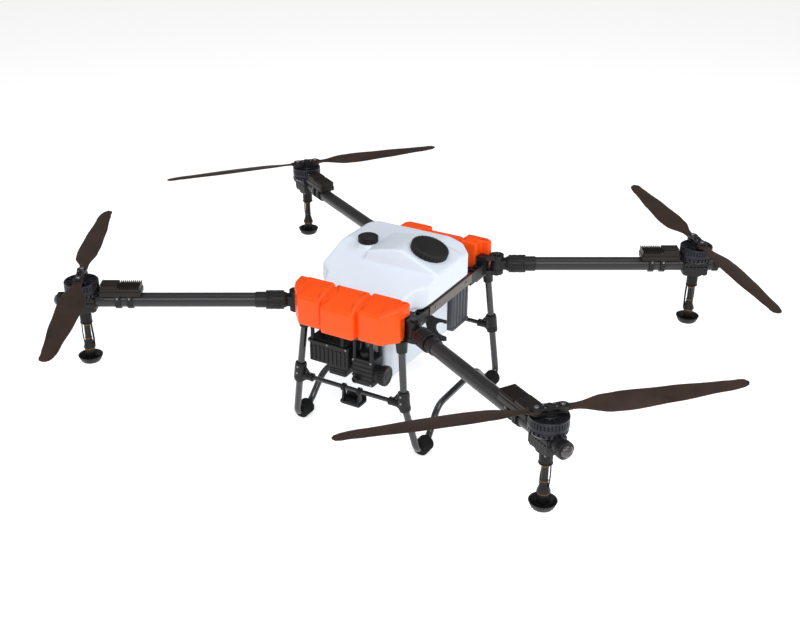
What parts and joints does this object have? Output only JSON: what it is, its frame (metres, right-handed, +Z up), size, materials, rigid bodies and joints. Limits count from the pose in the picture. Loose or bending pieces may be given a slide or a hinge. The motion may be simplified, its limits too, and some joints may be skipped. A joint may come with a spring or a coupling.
{
  "type": "agricultural spray drone",
  "caption": "Folding-arm agricultural spray drone with a liquid tank, propellers, spinning disc nozzles, slide-in battery and skid landing gear.",
  "frame": {"origin": "on the ground, midway between the four feet under the centre of the frame", "axes": "+X to the drone's right, +Y to its rear, +Z up"},
  "size_m": [1.845, 1.7153, 0.4966],
  "materials": {
    "carbon_plate": "satin carbon plate",
    "carbon_tube": "glossy twill carbon",
    "black_nylon": "moulded nylon",
    "steel": "brushed",
    "orange_cover": "satin gloss",
    "gear_tube": "satin dark",
    "rubber": "knurled matte",
    "grey_battery": "satin",
    "white_tank": "translucent satin",
    "black_cap": "ribbed matte",
    "motor_grey": "anodised",
    "esc_black": "anodised fins",
    "blade": "matte composite"
  },
  "bodies": {
    "frame": {"frame_beams": "carbon_plate", "frame_plates": "carbon_plate", "corner_castings": "black_nylon", "hinge_pins": "steel", "arm_clips": "black_nylon", "frame_screws": "steel", "front_cover": "orange_cover", "rear_cover": "orange_cover", "landing_gear": "gear_tube", "gear_crossbars": "gear_tube", "gear_clamps": "black_nylon", "rubber_feet": "rubber", "control_box": "black_nylon", "pump": "black_nylon"},
    "tank": {"tank": "white_tank"},
    "filler_cap": {"filler_cap": "black_cap"},
    "vent_cap": {"vent_cap": "black_cap"},
    "battery": {"battery": "grey_battery"},
    "sensor": {"sensor": "black_nylon"},
    "arm_fr": {"arm_tube_fr": "carbon_tube", "arm_knuckle_fr": "black_nylon", "motor_base_fr": "motor_grey", "esc_fr": "esc_black", "nozzle_fr": "black_nylon"},
    "sleeve_fr": {"lock_sleeve_fr": "black_nylon"},
    "rotor_fr": {"rotor_fr": "motor_grey"},
    "blade_a_fr": {"blade_a_fr": "blade"},
    "blade_b_fr": {"blade_b_fr": "blade"},
    "disc_fr": {"nozzle_disc_fr": "black_nylon"},
    "arm_fl": {"arm_tube_fl": "carbon_tube", "arm_knuckle_fl": "black_nylon", "motor_base_fl": "motor_grey", "esc_fl": "esc_black", "nozzle_fl": "black_nylon"},
    "sleeve_fl": {"lock_sleeve_fl": "black_nylon"},
    "rotor_fl": {"rotor_fl": "motor_grey"},
    "blade_a_fl": {"blade_a_fl": "blade"},
    "blade_b_fl": {"blade_b_fl": "blade"},
    "disc_fl": {"nozzle_disc_fl": "black_nylon"},
    "arm_rr": {"arm_tube_rr": "carbon_tube", "arm_knuckle_rr": "black_nylon", "motor_base_rr": "motor_grey", "esc_rr": "esc_black", "nozzle_rr": "black_nylon"},
    "sleeve_rr": {"lock_sleeve_rr": "black_nylon"},
    "rotor_rr": {"rotor_rr": "motor_grey"},
    "blade_a_rr": {"blade_a_rr": "blade"},
    "blade_b_rr": {"blade_b_rr": "blade"},
    "disc_rr": {"nozzle_disc_rr": "black_nylon"},
    "arm_rl": {"arm_tube_rl": "carbon_tube", "arm_knuckle_rl": "black_nylon", "motor_base_rl": "motor_grey", "esc_rl": "esc_black", "nozzle_rl": "black_nylon"},
    "sleeve_rl": {"lock_sleeve_rl": "black_nylon"},
    "rotor_rl": {"rotor_rl": "motor_grey"},
    "blade_a_rl": {"blade_a_rl": "blade"},
    "blade_b_rl": {"blade_b_rl": "blade"},
    "disc_rl": {"nozzle_disc_rl": "black_nylon"}
  },
  "joints": [
    {"name": "tank_lift", "type": "slide", "parent": "frame", "child": "tank", "axis": [0, 0, 1], "range_m": [0, 0.3]},
    {"name": "filler_cap_lift", "type": "slide", "parent": "tank", "child": "filler_cap", "axis": [0.3256, 0, 0.9455], "range_m": [0, 0.12]},
    {"name": "vent_cap_lift", "type": "slide", "parent": "tank", "child": "vent_cap", "axis": [0, 0, 1], "range_m": [0, 0.1]},
    {"name": "battery_slide", "type": "slide", "parent": "frame", "child": "battery", "axis": [0, 1, 0], "range_m": [0, 0.14]},
    {"name": "sensor_tilt", "type": "hinge", "parent": "frame", "child": "sensor", "pos_m": [0, -0.247, 0.157], "axis": [1, 0, 0], "range_deg": [-25, 25]},
    {"name": "arm_fold_fr", "type": "hinge", "parent": "frame", "child": "arm_fr", "pos_m": [0.168, -0.228, 0.356], "axis": [0, 0, 1], "range_deg": [0, 90]},
    {"name": "sleeve_slide_fr", "type": "slide", "parent": "arm_fr", "child": "sleeve_fr", "axis": [0.8615, -0.5078, 0], "range_m": [0, 0.024]},
    {"name": "rotor_spin_fr", "type": "hinge", "parent": "arm_fr", "child": "rotor_fr", "pos_m": [0.626, -0.498, 0.421], "axis": [0, 0, 1], "continuous": true},
    {"name": "blade_a_fold_fr", "type": "hinge", "parent": "rotor_fr", "child": "blade_a_fr", "pos_m": [0.64614, -0.47855, 0.421], "axis": [0, 0, 1], "range_deg": [-90, 0]},
    {"name": "blade_b_fold_fr", "type": "hinge", "parent": "rotor_fr", "child": "blade_b_fr", "pos_m": [0.60586, -0.51745, 0.421], "axis": [0, 0, 1], "range_deg": [-90, 0]},
    {"name": "disc_spin_fr", "type": "hinge", "parent": "arm_fr", "child": "disc_fr", "pos_m": [0.626, -0.498, 0.19], "axis": [0, 0, 1], "continuous": true},
    {"name": "arm_fold_fl", "type": "hinge", "parent": "frame", "child": "arm_fl", "pos_m": [-0.168, -0.228, 0.356], "axis": [0, 0, -1], "range_deg": [0, 90]},
    {"name": "sleeve_slide_fl", "type": "slide", "parent": "arm_fl", "child": "sleeve_fl", "axis": [-0.8615, -0.5078, 0], "range_m": [0, 0.024]},
    {"name": "rotor_spin_fl", "type": "hinge", "parent": "arm_fl", "child": "rotor_fl", "pos_m": [-0.626, -0.498, 0.421], "axis": [0, 0, 1], "continuous": true},
    {"name": "blade_a_fold_fl", "type": "hinge", "parent": "rotor_fl", "child": "blade_a_fl", "pos_m": [-0.64186, -0.47492, 0.421], "axis": [0, 0, 1], "range_deg": [-90, 0]},
    {"name": "blade_b_fold_fl", "type": "hinge", "parent": "rotor_fl", "child": "blade_b_fl", "pos_m": [-0.61014, -0.52108, 0.421], "axis": [0, 0, 1], "range_deg": [-90, 0]},
    {"name": "disc_spin_fl", "type": "hinge", "parent": "arm_fl", "child": "disc_fl", "pos_m": [-0.626, -0.498, 0.19], "axis": [0, 0, 1], "continuous": true},
    {"name": "arm_fold_rr", "type": "hinge", "parent": "frame", "child": "arm_rr", "pos_m": [0.168, 0.228, 0.356], "axis": [0, 0, 1], "range_deg": [-90, 0]},
    {"name": "sleeve_slide_rr", "type": "slide", "parent": "arm_rr", "child": "sleeve_rr", "axis": [0.8615, 0.5078, 0], "range_m": [0, 0.024]},
    {"name": "rotor_spin_rr", "type": "hinge", "parent": "arm_rr", "child": "rotor_rr", "pos_m": [0.626, 0.498, 0.421], "axis": [0, 0, 1], "continuous": true},
    {"name": "blade_a_fold_rr", "type": "hinge", "parent": "rotor_rr", "child": "blade_a_rr", "pos_m": [0.60726, 0.51881, 0.421], "axis": [0, 0, 1], "range_deg": [-90, 0]},
    {"name": "blade_b_fold_rr", "type": "hinge", "parent": "rotor_rr", "child": "blade_b_rr", "pos_m": [0.64474, 0.47719, 0.421], "axis": [0, 0, 1], "range_deg": [-90, 0]},
    {"name": "disc_spin_rr", "type": "hinge", "parent": "arm_rr", "child": "disc_rr", "pos_m": [0.626, 0.498, 0.19], "axis": [0, 0, 1], "continuous": true},
    {"name": "arm_fold_rl", "type": "hinge", "parent": "frame", "child": "arm_rl", "pos_m": [-0.168, 0.228, 0.356], "axis": [0, 0, -1], "range_deg": [-90, 0]},
    {"name": "sleeve_slide_rl", "type": "slide", "parent": "arm_rl", "child": "sleeve_rl", "axis": [-0.8615, 0.5078, 0], "range_m": [0, 0.024]},
    {"name": "rotor_spin_rl", "type": "hinge", "parent": "arm_rl", "child": "rotor_rl", "pos_m": [-0.626, 0.498, 0.421], "axis": [0, 0, 1], "continuous": true},
    {"name": "blade_a_fold_rl", "type": "hinge", "parent": "rotor_rl", "child": "blade_a_rl", "pos_m": [-0.60861, 0.51994, 0.421], "axis": [0, 0, 1], "range_deg": [-90, 0]},
    {"name": "blade_b_fold_rl", "type": "hinge", "parent": "rotor_rl", "child": "blade_b_rl", "pos_m": [-0.64339, 0.47606, 0.421], "axis": [0, 0, 1], "range_deg": [-90, 0]},
    {"name": "disc_spin_rl", "type": "hinge", "parent": "arm_rl", "child": "disc_rl", "pos_m": [-0.626, 0.498, 0.19], "axis": [0, 0, 1], "continuous": true}
  ]
}
